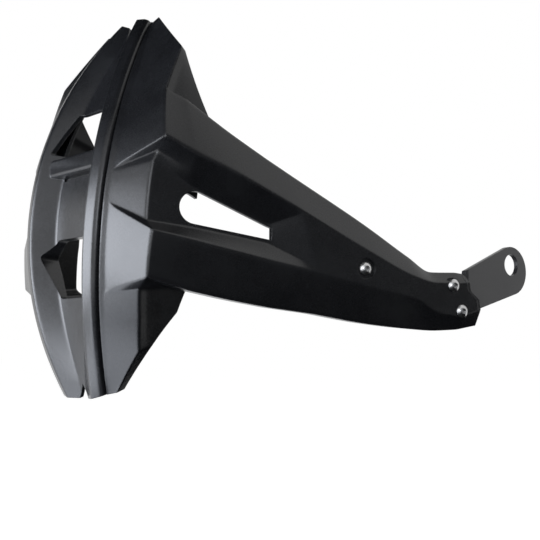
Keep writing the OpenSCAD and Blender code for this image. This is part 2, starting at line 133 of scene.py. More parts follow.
# Rows of the wing from bottom to top: angle at the seam, angle at the fold, half width at the
# fold, drop of the fold below the crests, and share of the full skirt depth
WING_KEYS = np.array([
    (-18.4, -18.3, 40.5, 15.0, 0.0),
    (-13.2, -13.2, 68.0, 24.5, 0.1),
    (-9.0, -9.0, 74.0, 25.0, 0.75),
    (-5.6, -5.2, 80.0, 23.5, 1.0),
    (-5.2, -3.9, 92.0, 22.4, 1.0),
    (5.9, 2.1, 97.0, 24.0, 1.0),
    (6.2, 3.4, 88.0, 24.5, 1.0),
    (9.4, 11.2, 88.0, 24.0, 1.0),
    (9.65, 12.7, 88.8, 25.6, 1.0),
    (9.9, 14.3, 98.0, 24.0, 1.0),
    (18.8, 21.2, 86.0, 20.0, 1.0),
    (25.5, 27.4, 88.0, 17.7, -0.08),
    (34.1, 34.0, 38.0, 10.0, 0.0),
])

# Arm: outward splay, distance of its root behind the axle hole, how far its edges lie inboard of
# its creases, the trough between its fingers, and its inward flanges with their tilts
ARM_SPLAY = math.radians(15)
ARM_ROOT = 325.0
TOP_INSET = 14.0
FRONT_INSET = 5.0
BOTTOM_INSET = 6.0
TROUGH_DEPTH = 9.0
ARM_FLANGE = 12.0
FRONT_FLANGE = 3.5
FLANGE_END_X = -80.0
TOP_FLANGE_FALL = 2
LOW_FLANGE_RISE = 1
# The edges are thinner where the bracket lies between them
EDGE_THIN_X = -120.0
EDGE_THIN = 0.4
TOP_EDGE_WALL = 1.05
# Shares of a station's lean at the trough's corners
UPPER_LEAN = 0.1
LOWER_LEAN = 0.9

# Stations along the arm: place of the crease, lean, heights of the top edge, crease, trough's
# upper and lower corners, lower crease and bottom edge, and trough share
ARM_STATIONS = [
    (-293, 0, 112, 69, 47, 16.5, 5.5, -31, 1),
    (-262, 0, 91, 57, 33.5, 12, -1, -37, 1),
    (-231, 0, 72, 42.5, 21.5, 7, -7.5, -42, 1),
    (-211, 15, 60.5, 33.5, 30, -10, -14.5, -46, 0),
    (-150, 0, 25.5, 2.5, -6, -15, -24, -53, 0),
    (-112, 0, 1.5, -14.5, -20, -26, -32, -56.5, 0),
    (-92, 0, -10, -19, -27, -35, -43, -57.5, 0),
    (-70, 0, -9.5, -19, -28, -37, -46, -56.5, 0),
    (-62, 10, -10.5, -18, -25, -32, -40, -53, 0),
]
# Rows of the wing at which the arm's corners leave its fold, from the top down
ROOT_KEYS = [10.0, 9.0, 7.0, 6.0, 5.0, 4.0]
# How far behind the fold the arm starts, and how deep in the wing's wall
ARM_START = 9.0
ARM_START_SINK = 0.8

# The arm's front end turns inward from just behind its face to the bracket
BOSS_H = 3.0
FRONT_LAP = 0.6
FRONT_TURN = WALL + BOSS_H - SEAT_GAP
FRONT_ROWS = 5
FRONT_PROUD = 0.05

# Slot through the trough: centre and height of its round rear end, the corners of its front end,
# and the distances outward between which it is cut
SLOT_REAR = (-288.0, 30.5)
SLOT_H = 24.0
SLOT_FRONT = [(-229.0, 9.5), (-229.0, 18.5)]
SLOT_CUT = (40, 190)

# Arm screws: place, height, and depth of the head's seat
ARM_SCREWS = [(-156.0, -10.0, 1.5), (-77.5, -21.0, 0.0), (-70.0, -41.5, 0.0)]
ARM_HOLE_D = 6.6
ARM_HOLE_CUT = (-8, 4)
ARM_BOSS_D = 13.5
COUNTERBORE_D = 16.0
SEAT_RISE = 0.01

# Panel screws: angle, distance outward, and how far the boss stops short of the wall above it,
# which is less than nothing where it reaches into that wall
PANEL_SCREWS = [(24.0, 38.6, 2.2), (6.0, 45.99, -1.0), (-12.0, 32.75, -1.0)]
PANEL_SCREW_D = 4.1
PANEL_HOLE_D = 4.6
PANEL_HOLE_CUT = (-7, 3)
PANEL_BOSS_D = 7.0
PANEL_BORE_ROOF = 2

# Distance between neighbouring points on the skins, and passes that round their creases
STEP = 1.7
ROUNDING = 2
# Distance from a crease to the points on either side of it, which sets how tight it is
CREASE = 0.7
SHARP_ANGLE = math.radians(38)
# Points closer than this, in metres, become one
WELD = 0.00001
# How far a cut runs past the faces that it opens
PAST = 3

# Steps between the corners of each section
CENTRE_COUNTS = [7, 6, 7, 14, 28, 14, 7, 6, 7]
WING_COUNTS = [9, 6, 8, 22, 9, 20]
ARM_COUNTS = [8, 18, 14, 16, 10, 18, 8]
FRONT_COUNTS = [6, 5, 5, 5, 6]
# Steps from the arm's start to the fold and on to its first station, then between its stations
ROOT_STEPS = [8, 16]
ARM_STEPS = [18, 18, 13, 36, 23, 12, 13, 8]


def lerp(a, b, t):
    return a + (b - a) * t


def unit(v):
    return v / np.linalg.norm(v)


def arc_point(deg, r, out):
    """A point at an angle above the axle hole, a radius and a distance outward to the right."""
    a = math.radians(deg)
    return np.array([-r * math.cos(a), -out, r * math.sin(a)])


def arc_mm(deg):
    """Length of an angle along the crests."""
    return math.radians(deg) * CREST_R


def offset_open(points, t):
    """Moves an open outline sideways by t, with mitred corners."""
    p = np.asarray(points, float)
    d = p[1:] - p[:-1]
    d /= np.linalg.norm(d, axis=1)[:, None]
    n = np.stack([-d[:, 1], d[:, 0]], 1)
    before = np.vstack([n[:1], n])
    after = np.vstack([n, n[-1:]])
    mid = before + after
    mid /= np.linalg.norm(mid, axis=1)[:, None]
    return p + mid * t / (mid * before).sum(1)[:, None]


def shares(count, length):
    """Places of a stretch's points, with one close to each of its ends."""
    near = min(CREASE / max(length, CREASE), 0.8 / count)
    return [0.0] + [lerp(near, 1 - near, k / (count - 2)) for k in range(count - 1)]


def spread(points, counts):
    """Points along an outline, with a set number of steps in each of its stretches."""
    p = np.asarray(points, float)
    rows = [
        lerp(p[i], p[i + 1], t)
        for i, n in enumerate(counts) for t in shares(n, np.linalg.norm(p[i + 1] - p[i]))
    ]
    return np.array(rows + [p[-1]])


def rounded_creases(grid, passes=ROUNDING):
    """Draws each point of a grid towards its neighbours, apart from those on the edges."""
    g = grid.copy()
    for _ in range(passes):
        g[:, 1:-1] = 0.5 * g[:, 1:-1] + 0.25 * (g[:, :-2] + g[:, 2:])
        g[1:-1] = 0.5 * g[1:-1] + 0.25 * (g[:-2] + g[2:])
    return g


def end_share(deg):
    """Share of the way from the widest place to the top or the bottom edge."""
    if deg > WIDEST_DEG:
        return (deg - WIDEST_DEG) / (TOP_DEG - WIDEST_DEG)
    return (WIDEST_DEG - deg) / (WIDEST_DEG + BOTTOM_DEG)


def seam_half(deg):
    """Half width of the centre panel."""
    if deg > WIDEST_DEG:
        return SEAM_MID - (SEAM_MID - SEAM_TOP) * end_share(deg) ** SEAM_TOP_POWER
    return SEAM_MID - (SEAM_MID - SEAM_BOTTOM) * end_share(deg) ** SEAM_BOTTOM_POWER


def crest(deg):
    """Radius of the crests about the axle hole."""
    return CREST_R - END_DROP * end_share(deg) ** 2


def floor_half(deg):
    """Half width of the channel's floor."""
    return max(FLOOR_HALF_MIN, seam_half(deg) - STRIP_W - FLANK_W)


def floor_r(deg):
    """Radius of the channel's floor about the axle hole."""
    return crest(deg) - CHANNEL_DEPTH + (CHANNEL_DEPTH - END_CHANNEL) * end_share(deg) ** 3


def linked(name, data):
    """A new object in the scene."""
    piece = bpy.data.objects.new(name, data)
    scene.collection.objects.link(piece)
    return piece


class Builder:
    """Gathers closed meshes, in millimetres, and makes one object of them."""

    def __init__(self):
        self.points = []
        self.faces = []

    def add(self, points, faces):
        """Adds one closed mesh, with its faces turned outward."""
        p = np.asarray(points, float)
        volume = sum(
            p[f[0]].dot(np.cross(p[f[k]], p[f[k + 1]])) for f in faces for k in range(1, len(f) - 1)
        )
        base = len(self.points)
        self.points.extend(p.tolist())
        self.faces.extend([tuple(base + i for i in (f if volume > 0 else f[::-1])) for f in faces])
        return self

    def sheet(self, outer, inner):
        """A wall between two grids of points, closed along all four edges."""
        rows, cols = outer.shape[:2]
        side = rows * cols
        quads = []
        for i in range(rows - 1):
            for j in range(cols - 1):
                a = i * cols + j
                quads.append((a, a + cols, a + cols + 1, a + 1))
                quads.append((side + a, side + a + 1, side + a + cols + 1, side + a + cols))
        for j in range(cols - 1):
            top = (rows - 1) * cols + j
            quads.append((j, j + 1, side + j + 1, side + j))
            quads.append((top + 1, top, side + top, side + top + 1))
        for i in range(rows - 1):
            a = i * cols
            b = a + cols - 1
            quads.append((a + cols, a, side + a, side + a + cols))
            quads.append((b, b + cols, side + b + cols, side + b))
        return self.add(np.vstack([outer.reshape(-1, 3), inner.reshape(-1, 3)]), quads)

    def loft(self, levels, place):
        """Outlines with the same number of points, one above the other, closed at both ends."""
        n = len(levels[0][0])
        points = [place @ np.array([x, y, z, 1.0]) for outline, z in levels for x, y in outline]
        faces = [tuple(range(n - 1, -1, -1)), tuple((len(levels) - 1) * n + i for i in range(n))]
        for k in range(len(levels) - 1):
            for i in range(n):
                j = (i + 1) % n
                faces.append((k * n + i, k * n + j, (k + 1) * n + j, (k + 1) * n + i))
        return self.add([p[:3] for p in points], faces)

    def prism(self, outline, low, high, place):
        return self.loft([(outline, low), (outline, high)], place)

    def object(self, name):
        mesh = bpy.data.meshes.new(name)
        points = [(x * MM, (y + SHIELD_OFFSET) * MM, z * MM) for x, y, z in self.points]
        mesh.from_pydata(points, [], self.faces)
        return linked(name, mesh)


def combine(piece, other, operation):
    """Applies a boolean to a piece and removes the other object."""
    step = piece.modifiers.new("combine", "BOOLEAN")
    step.operation = operation
    step.solver = "EXACT"
    step.object = other
    graph = bpy.context.evaluated_depsgraph_get()
    mesh = bpy.data.meshes.new_from_object(piece.evaluated_get(graph))
    piece.modifiers.clear()
    old = piece.data
    piece.data = mesh
    bpy.data.meshes.remove(old)
    spare = other.data
    bpy.data.objects.remove(other)
    bpy.data.meshes.remove(spare)
    return piece


def on_shield(deg, out, r):
    """+X up along the shield, +Y to the left and +Z outward."""
    a = math.radians(deg)
    place = np.eye(4)
    place[:3, 0] = (math.sin(a), 0, math.cos(a))
    place[:3, 1] = (0, 1, 0)
    place[:3, 2] = (-math.cos(a), 0, math.sin(a))
    place[:3, 3] = arc_point(deg, r, out)
    return place


def arm_out(x):
    """Distance outward of the arm's flat outer face."""
    return FINGER_HALF + (x + ARM_ROOT) * math.tan(ARM_SPLAY)


def arm_inset(x):
    """How far the arm's top edge lies inboard of its crease."""
    return lerp(TOP_INSET, FRONT_INSET, (x + ARM_ROOT) / ARM_ROOT)


def on_arm(x, z):
    """+X forward along the arm and +Z out of its outer face."""
    c, s = math.cos(ARM_SPLAY), math.sin(ARM_SPLAY)
    place = np.eye(4)
    place[:3, 0] = (c, -s, 0)
    place[:3, 1] = (0, 0, 1)
    place[:3, 2] = (-s, -c, 0)
    place[:3, 3] = (x, -arm_out(x), z)
    return place


def circle(d, count=40, centre=(0.0, 0.0)):
    turns = [2 * math.pi * i / count for i in range(count)]
    return [(centre[0] + d / 2 * math.cos(a), centre[1] + d / 2 * math.sin(a)) for a in turns]


def filleted(points, radius, steps=5):
    """A closed outline with its corners rounded."""
    p = [np.array(q, float) for q in points]
    out = []
    for i, q in enumerate(p):
        a, b = p[i - 1] - q, p[(i + 1) % len(p)] - q
        la, lb = np.linalg.norm(a), np.linalg.norm(b)
        reach = min(radius, 0.45 * la, 0.45 * lb)
        start, end = q + a / la * reach, q + b / lb * reach
        for k in range(steps + 1):
            t = k / steps
            out.append(tuple(lerp(lerp(start, q, t), lerp(q, end, t), t)))
    return out


def grown(points, by):
    """A convex outline, moved outward by a distance."""
    p = np.array(points, float)
    area = sum(p[i - 1][0] * p[i][1] - p[i][0] * p[i - 1][1] for i in range(len(p)))
    sign = -1.0 if area < 0 else 1.0
    out = []
    for i in range(len(p)):
        d1 = unit(p[i] - p[i - 1])
        d2 = unit(p[(i + 1) % len(p)] - p[i])
        n1 = sign * np.array([d1[1], -d1[0]])
        n2 = sign * np.array([d2[1], -d2[0]])
        m = unit(n1 + n2)
        out.append(tuple(p[i] + m * by / m.dot(n1)))
    return out


def hull(points):
    """The convex outline round some points."""
    pts = sorted(points)

    def half(seq):
        line = []
        for q in seq:
            while len(line) > 1 and (
                (line[-1][0] - line[-2][0]) * (q[1] - line[-2][1])
                - (line[-1][1] - line[-2][1]) * (q[0] - line[-2][0])
            ) <= 0:
                line.pop()
            line.append(q)
        return line[:-1]

    return half(pts) + half(pts[::-1])


def vent_outline(rows):
    """An outline seen from outside, with +X up along the shield and +Y to the left."""
    return [(x, -h) for x, h in rows] + [(x, h) for x, h in reversed(rows)]


def centre_section(deg):
    """Corners of the centre panel's section, from its left lip to its right lip."""
    s = seam_half(deg)
    half = [
        (floor_half(deg), floor_r(deg)),
        (s - STRIP_W, crest(deg)),
        (s - BEVEL_W, crest(deg) - STRIP_DROP),
        (s, crest(deg) - BEVEL_DROP),
        (s, crest(deg) - LIP_DEPTH),
    ]
    return np.array([(-x, y) for x, y in reversed(half)] + half)


def centre_grid(inside):
    """Points of the centre panel's outer or inner face."""
    n = round(arc_mm(TOP_DEG + BOTTOM_DEG) / STEP)
    grid = []
    for i in range(n + 1):
        t = i / n
        deg = lerp(-BOTTOM_DEG, TOP_DEG, t)
        section = centre_section(deg)
        if inside:
            section = offset_open(section, -WALL)
        row = []
        for out, r in spread(section, CENTRE_COUNTS):
            share = 1 - abs(out) / seam_half(deg)
            low = -BOTTOM_DEG - BOTTOM_POINT * share / arc_mm(1)
            row.append(arc_point(lerp(low, TOP_DEG, t), r, out))
        grid.append(row)
    return rounded_creases(np.array(grid))


def louvre_bar():
    """The bar across the channel, which stands proud of it."""
    top, low = BAR_H / 2, -BAR_H / 2
    outline = [(top, -BAR_HALF), (top, BAR_HALF), (low, BAR_LOW_HALF), (low, -BAR_LOW_HALF)]
    height = WALL + BAR_PROUD
    steps = [(0, BAR_SINK)] + [(inset, height - drop) for inset, drop in BAR_EDGE]
    levels = [(filleted(grown(outline, -inset), BAR_CORNER, steps=6), z) for inset, z in steps]
    return Builder().loft(levels, on_shield(BAR_DEG, 0, CHANNEL_R - WALL))


def at_radius(grid, radius_of):
    """A grid of points, each moved along its own radius about the axle hole."""
    moved = grid.copy()
    for p in moved.reshape(-1, 3):
        r = math.hypot(p[0], p[2])
        p[0] = p[0] * radius_of(r) / r
        p[2] = p[2] * radius_of(r) / r
    return moved


def lower_duct():
    """The lower vent's return flange, up to the faces of the panel."""
    low_r = CHANNEL_R - DUCT_DEPTH
    outline = filleted(grown(vent_outline(LOWER_VENT), DUCT_WALL), VENT_CORNER + DUCT_WALL)
    block = Builder().prism(
        outline, 0, CHANNEL_DEPTH + DUCT_DEPTH + 2, on_shield(LOWER_VENT_DEG, 0, low_r - 1)
    )
    duct = block.object("duct")
    face = centre_grid(False)
    sunk = at_radius(face, lambda r: r - DUCT_SINK)
    depth = Builder().sheet(sunk, at_radius(face, lambda r: low_r)).object("depth")
    return combine(duct, depth, "INTERSECT")


def under_lip(deg, out):
    """The seat of a panel screw, below the lip."""
    return on_shield(deg, out, crest(deg) - LIP_DEPTH)


def centre_cuts():
    """Vents, groove, notches and screw bores of the centre panel."""
    cuts = Builder()
    reach = CHANNEL_DEPTH + LIP_DEPTH
    cuts.prism(
        filleted(vent_outline(UPPER_VENT), VENT_CORNER), -UPPER_VENT_CUT, reach,
        on_shield(UPPER_VENT_DEG, 0, CHANNEL_R),
    )
    cuts.prism(
        filleted(vent_outline(LOWER_VENT), VENT_CORNER), -DUCT_DEPTH - PAST, reach,
        on_shield(LOWER_VENT_DEG, 0, CHANNEL_R),
    )
    top, low = -BAR_H / 2, -(BAR_H / 2 + GROOVE_H)
    cuts.prism(
        [(low, -GROOVE_LOW_HALF), (top, -GROOVE_HALF), (top, GROOVE_HALF), (low, GROOVE_LOW_HALF)],
        -GROOVE_DEPTH, GROOVE_CLEAR, on_shield(BAR_DEG, 0, CHANNEL_R),
    )
    cuts.prism(
        [(-TOP_NOTCH, 0), (PAST, -TOP_NOTCH_HALF), (PAST, TOP_NOTCH_HALF)], -LIP_DEPTH, reach,
        on_shield(TOP_DEG, 0, CHANNEL_R),
    )
    mouth = -PAST - BOTTOM_POINT
    cuts.prism(
        [(BOTTOM_NOTCH - BOTTOM_POINT, 0), (mouth, BOTTOM_NOTCH_HALF), (mouth, -BOTTOM_NOTCH_HALF)],
        -LIP_DEPTH, reach, on_shield(-BOTTOM_DEG, 0, CHANNEL_R),
    )
    for side in (-1, 1):
        for deg, out, _ in PANEL_SCREWS:
            bore = circle(PANEL_SCREW_D, count=24)
            cuts.prism(bore, -1, LIP_DEPTH - WALL - PANEL_BORE_ROOF, under_lip(deg, side * out))
    return cuts.object("cuts")


def centre_skin():
    shell = Builder().sheet(centre_grid(False), centre_grid(True))
    piece = shell.object("centre_panel_skin")
    combine(piece, lower_duct(), "UNION")
    extra = louvre_bar()
    for side in (-1, 1):
        for deg, out, short in PANEL_SCREWS:
            boss = circle(PANEL_BOSS_D, count=28)
            extra.prism(boss, 0, LIP_DEPTH - WALL - short, under_lip(deg, side * out))
    combine(piece, extra.object("extra"), "UNION")
    return combine(piece, centre_cuts(), "DIFFERENCE")


def wing_section(row):
    """Cross section of a wing, from the hidden flange out over the fold and down the skirt."""
    seam_deg, _, fold_half, fold_drop, skirt_share = row
    start = seam_half(seam_deg) + SEAM_GAP
    flange_r = crest(seam_deg) - LIP_DEPTH - SEAT_GAP
    edge_r = crest(seam_deg) - WING_STEP
    blade = lerp(start, fold_half, BLADE_SHARE)
    fold_r = CREST_R - fold_drop
    skirt = SKIRT_MIN + (SKIRT_DEPTH - SKIRT_MIN) * skirt_share
    skirt_out = min(fold_half, FINGER_HALF - FOLD_RECESS)
    return np.array([
        (start - FLANGE_W, flange_r),
        (start, flange_r),
        (start, edge_r),
        (blade, edge_r - WING_SLOPE * (blade - start)),
        (fold_half, fold_r),
        (skirt_out - SKIRT_TUCK / 2, fold_r - min(SHOULDER, skirt / 2)),
        (skirt_out - SKIRT_TUCK, fold_r - skirt),
    ])


def wing_corners(row, inside):
    """Corners of a wing's section, on its outer or its inner face."""
    seam_deg, fold_deg, fold_half = row[:3]
    section = wing_section(row)
    if inside:
        section = offset_open(section, -min(WALL, TIP_WALL * (fold_half - section[1][0])))
        section[3] = lerp(section[2], section[4], BLADE_SHARE)
        if section[5][1] > section[4][1] - SHOULDER_MIN:
            section[5] = lerp(section[4], section[6], 0.5)
    degs = [seam_deg] * 3 + [lerp(seam_deg, fold_deg, BLADE_SHARE)] + [fold_deg] * 3
    return np.array([arc_point(deg, r, out) for deg, (out, r) in zip(degs, section)])


def wing_rows():
    """Rows of the wing at close steps between its key rows."""
    rows = []
    for a, b in zip(WING_KEYS[:-1], WING_KEYS[1:]):
        pa, pb = wing_corners(a, False), wing_corners(b, False)
        length = np.linalg.norm(pa - pb, axis=1).max()
        rows += [lerp(a, b, t) for t in shares(max(4, round(length / STEP) + 2), length)]
    return rows + [WING_KEYS[-1]]


def wing_grid(inside):
    """Points of a wing's outer or inner face."""
    rows = [spread(wing_corners(row, inside), WING_COUNTS) for row in wing_rows()]
    return rounded_creases(np.array(rows))


def wing_sheet(side):
    """The right wing, with side 1, or the left one, with side -1."""
    across = np.array([1, side, 1])
    return Builder().sheet(wing_grid(False) * across, wing_grid(True) * across)


def cut_panel_holes(cuts, side):
    """Adds the screw holes of a wing's hidden flange."""
    for deg, out, _ in PANEL_SCREWS:
        cuts.prism(circle(PANEL_HOLE_D, count=24), *PANEL_HOLE_CUT, under_lip(deg, side * out))


def flange_at(x):
    """The inward flanges end where the bracket comes out between them."""
    return ARM_FLANGE if x < FLANGE_END_X else FRONT_FLANGE


def arm_section(station):
    """The eight corners of the arm's section, as x, distance outward and height."""
    x, lean, top, crease, upper, lower, low_crease, bottom, trough = station
    xl, x_top, x_low = x + lean, x + lean * UPPER_LEAN, x + lean * LOWER_LEAN
    sunk = TROUGH_DEPTH * trough
    return np.array([
        (x, arm_out(x) - arm_inset(x) - flange_at(x), top - TOP_FLANGE_FALL),
        (x, arm_out(x) - arm_inset(x), top),
        (x, arm_out(x), crease),
        (x_top, arm_out(x_top) - sunk, upper),
        (x_low, arm_out(x_low) - sunk, lower),
        (xl, arm_out(xl), low_crease),
        (xl, arm_out(xl) - BOTTOM_INSET, bottom),
        (xl, arm_out(xl) - BOTTOM_INSET - flange_at(x), bottom + LOW_FLANGE_RISE),
    ])


def arm_inner(section, trough):
    """The partners inside of the arm's corners, by shares of the wall inboard and up."""
    edge = 1.0 if section[0][0] < EDGE_THIN_X else EDGE_THIN
    shifts = np.array([
        (0, -1),
        (edge, -TOP_EDGE_WALL),
        (lerp(1.1, 1.6, trough), lerp(-0.3, -0.1, trough)),
        (1, 0.9 * trough),
        (1, -0.9 * trough),
        (lerp(1.1, 1.3, trough), lerp(0.2, 0.1, trough)),
        (edge, 1),
        (0, 1),
    ])
    moved = section.copy()
    moved[:, 1] -= WALL * shifts[:, 0]
    moved[:, 2] += WALL * shifts[:, 1]
    return moved


def fold_point(key, back, inside):
    """A point on the wing at or behind its fold, as x, distance outward and height."""
    low = min(int(key), len(WING_KEYS) - 2)
    row = lerp(WING_KEYS[low], WING_KEYS[low + 1], key - low)
    if back:
        corners = wing_corners(row, inside)
        way = corners[3] - corners[4]
        p = corners[4] + way * back / np.linalg.norm(way)
        p = p - ARM_START_SINK * unit(np.array([p[0], 0, p[2]]))
    else:
        _, fold_deg, fold_half, fold_drop, _ = row
        wall = WALL if inside else 0
        p = arc_point(fold_deg, CREST_R - fold_drop - wall, fold_half - wall)
    return np.array([p[0], -p[1], p[2]])


def root_row(back, inside):
    """The arm's section where it meets the wing, at or behind the wing's fold."""
    ends = [fold_point(key, 0, False) for key in ROOT_KEYS]
    line = []
    for i, n in enumerate(ARM_COUNTS[1:6]):
        length = np.linalg.norm(ends[i + 1] - ends[i])
        line += [lerp(ROOT_KEYS[i], ROOT_KEYS[i + 1], t) for t in shares(n, length)]
    body = np.array([fold_point(key, back, inside) for key in line + ROOT_KEYS[-1:]])
    if inside:
        first, last = ARM_COUNTS[1], ARM_COUNTS[5]
        top_z = fold_point(ROOT_KEYS[0], back, False)[2] - TOP_EDGE_WALL * WALL
        low_z = fold_point(ROOT_KEYS[-1], back, False)[2] + WALL
        body[:first, 2] += (top_z - body[0][2]) * np.linspace(1, 0, first)
        body[-last:, 2] += (low_z - body[-1][2]) * np.linspace(0, 1, last)
    top, low = body[0], body[-1]
    depth = ARM_FLANGE - (WALL if inside else 0)
    above = top + (0, -depth, -TOP_FLANGE_FALL)
    below = low + (0, -depth, LOW_FLANGE_RISE)
    upper = spread([above, top], ARM_COUNTS[:1])[:-1]
    lower = spread([low, below], ARM_COUNTS[6:])[1:]
    return np.vstack([upper, body, lower])


def eased(rows, counts):
    """Rows between key rows, on a curve that keeps to their rise and fall."""
    rows = np.array(rows)
    gaps = np.linalg.norm(rows[1:] - rows[:-1], axis=2).mean(1)
    h = gaps[:, None, None]
    rise = (rows[1:] - rows[:-1]) / h
    same = rise[1:] * rise[:-1] > 0
    slopes = np.empty_like(rows)
    slopes[0], slopes[-1] = rise[0], rise[-1]
    slopes[1:-1] = np.where(
        same, 2 * rise[1:] * rise[:-1] / np.where(same, rise[1:] + rise[:-1], 1), 0
    )
    out = []
    for k, count in enumerate(counts):
        for i in range(count):
            t = i / count
            a, b = 2 * t ** 3 - 3 * t ** 2 + 1, t ** 3 - 2 * t ** 2 + t
            c, d = -2 * t ** 3 + 3 * t ** 2, t ** 3 - t ** 2
            start = a * rows[k] + b * h[k] * slopes[k]
            out.append(start + c * rows[k + 1] + d * h[k] * slopes[k + 1])
    return out + [rows[-1]]


def straight(rows, counts):
    """Rows on straight lines between key rows."""
    out = []
    for a, b, n in zip(rows[:-1], rows[1:], counts):
        out += [lerp(a, b, t) for t in shares(n, np.linalg.norm(b - a, axis=1).mean())]
    return out + [rows[-1]]


def arm_grid(inside):
    """Points of the arm's outer or inner face, from the wing to the front end."""
    stations = []
    for station in ARM_STATIONS:
        section = arm_section(station)
        if inside:
            section = arm_inner(section, station[-1])
        stations.append(spread(section, ARM_COUNTS))
    root = [root_row(ARM_START, inside), root_row(0, inside)]
    rows = straight(root + stations[:1], ROOT_STEPS)[:-1]
    rows += eased(stations[0:3], ARM_STEPS[0:2])[:-1]
    rows += straight(stations[2:4], ARM_STEPS[2:3])[:-1]
    rows += eased(stations[3:8], ARM_STEPS[3:7])[:-1]
    rows += straight(stations[7:9], ARM_STEPS[7:8])
    grid = rounded_creases(np.array(rows))
    grid[:, :, 1] *= -1
    return grid


def front_wall():
    """The arm's front end, turned inward to the bracket."""
    edge = spread(arm_section(ARM_STATIONS[-1])[1:7], FRONT_COUNTS)
    depths = np.linspace(FRONT_LAP, FRONT_TURN, FRONT_ROWS)
    outer = rounded_creases(np.array([edge - (-FRONT_PROUD, depth, 0) for depth in depths]), 1)
    outer[:, :, 1] *= -1
    return Builder().sheet(outer, outer - (WALL, 0, 0))


def right_cuts():
    """Screw holes, counterbore and slot of the right panel."""
    cuts = Builder()
    low, high = ARM_HOLE_CUT
    hole, bore = circle(ARM_HOLE_D), circle(COUNTERBORE_D)
    for x, z, seat in ARM_SCREWS:
        if seat:
            levels = [(hole, low), (hole, -seat), (bore, -seat + SEAT_RISE), (bore, high)]
            cuts.loft(levels, on_arm(x, z))
        else:
            cuts.prism(hole, low, high, on_arm(x, z))
    cut_panel_holes(cuts, 1)
    across = np.eye(4)
    across[:3, :3] = np.array([(1, 0, 0), (0, 0, -1), (0, 1, 0)])
    slot = hull(circle(SLOT_H, count=48, centre=SLOT_REAR) + SLOT_FRONT)
    cuts.prism(slot, *SLOT_CUT, across)
    return cuts.object("cuts")


def right_skin():
    piece = wing_sheet(1).object("right_panel_skin")
    combine(piece, Builder().sheet(arm_grid(False), arm_grid(True)).object("arm"), "UNION")
    combine(piece, front_wall().object("front"), "UNION")
    bosses = Builder()
    for x, z, _ in ARM_SCREWS:
        bosses.prism(circle(ARM_BOSS_D), -WALL - BOSS_H, -WALL / 2, on_arm(x, z))
    combine(piece, bosses.object("bosses"), "UNION")
    return combine(piece, right_cuts(), "DIFFERENCE")


def left_skin():
    piece = wing_sheet(-1).object("left_panel_skin")
    cuts = Builder()
    cut_panel_holes(cuts, -1)
    return combine(piece, cuts.object("cuts"), "DIFFERENCE")


def shaded(piece):
    """Smooth faces, with sharp edges where two faces meet at a clear angle."""
    mesh = piece.data
    bm = bmesh.new()
    bm.from_mesh(mesh)
    bmesh.ops.remove_doubles(bm, verts=bm.verts, dist=WELD)
    bmesh.ops.dissolve_degenerate(bm, edges=bm.edges, dist=WELD)
    for face in bm.faces:
        face.smooth = True
    for edge in bm.edges:
        edge.smooth = len(edge.link_faces) == 2 and edge.calc_face_angle(0.0) < SHARP_ANGLE
    bm.to_mesh(mesh)
    bm.free()


class Nodes:
    """A short way to write a node tree. An input is a value or the output of another node."""

    def __init__(self, owner):
        owner.use_nodes = True
        self.tree = owner.node_tree
        self.tree.nodes.clear()

    def put(self, socket, value):
        if isinstance(value, bpy.types.NodeSocket):
            self.tree.links.new(value, socket)
        elif isinstance(value, tuple):
            socket.default_value = (*value, 1.0)
        else:
            socket.default_value = value

    def add(self, kind, inputs=None, **settings):
        node = self.tree.nodes.new(kind)
        for key, value in settings.items():
            setattr(node, key, value)
        for key, value in (inputs or {}).items():
            self.put(node.inputs[key], value)
        return node

    def ramp(self, source, low, high, start, end):
        """A value that runs from start to end as the source runs from low to high."""
        node = self.add("ShaderNodeMapRange", {
            "Value": source, "From Min": low, "From Max": high, "To Min": start, "To Max": end,
        })
        return node.outputs["Result"]

    def noise(self, place, scale, detail, roughness=0.55):
        node = self.add("ShaderNodeTexNoise", {
            "Vector": place, "Scale": scale, "Detail": detail, "Roughness": roughness,
        })
        return node.outputs["Fac"]

    def mix(self, factor, a, b):
        # The colour inputs and output of this node share their names with others
        node = self.add("ShaderNodeMix", {0: factor}, data_type="RGBA")
        self.put(node.inputs[6], a)
        self.put(node.inputs[7], b)
        return node.outputs[2]

    def math(self, operation, a, b):
        return self.add("ShaderNodeMath", {0: a, 1: b}, operation=operation).outputs[0]

    def plain_sight(self):
        """1 for a ray that shows the background as it is, and 0 for one that only lights."""
        path = self.add("ShaderNodeLightPath").outputs
        seen = self.math("MAXIMUM", path["Is Camera Ray"], path["Is Glossy Ray"])
        return self.math("MAXIMUM", seen, path["Is Transmission Ray"])


def grey(level):
    return (level, level, level)


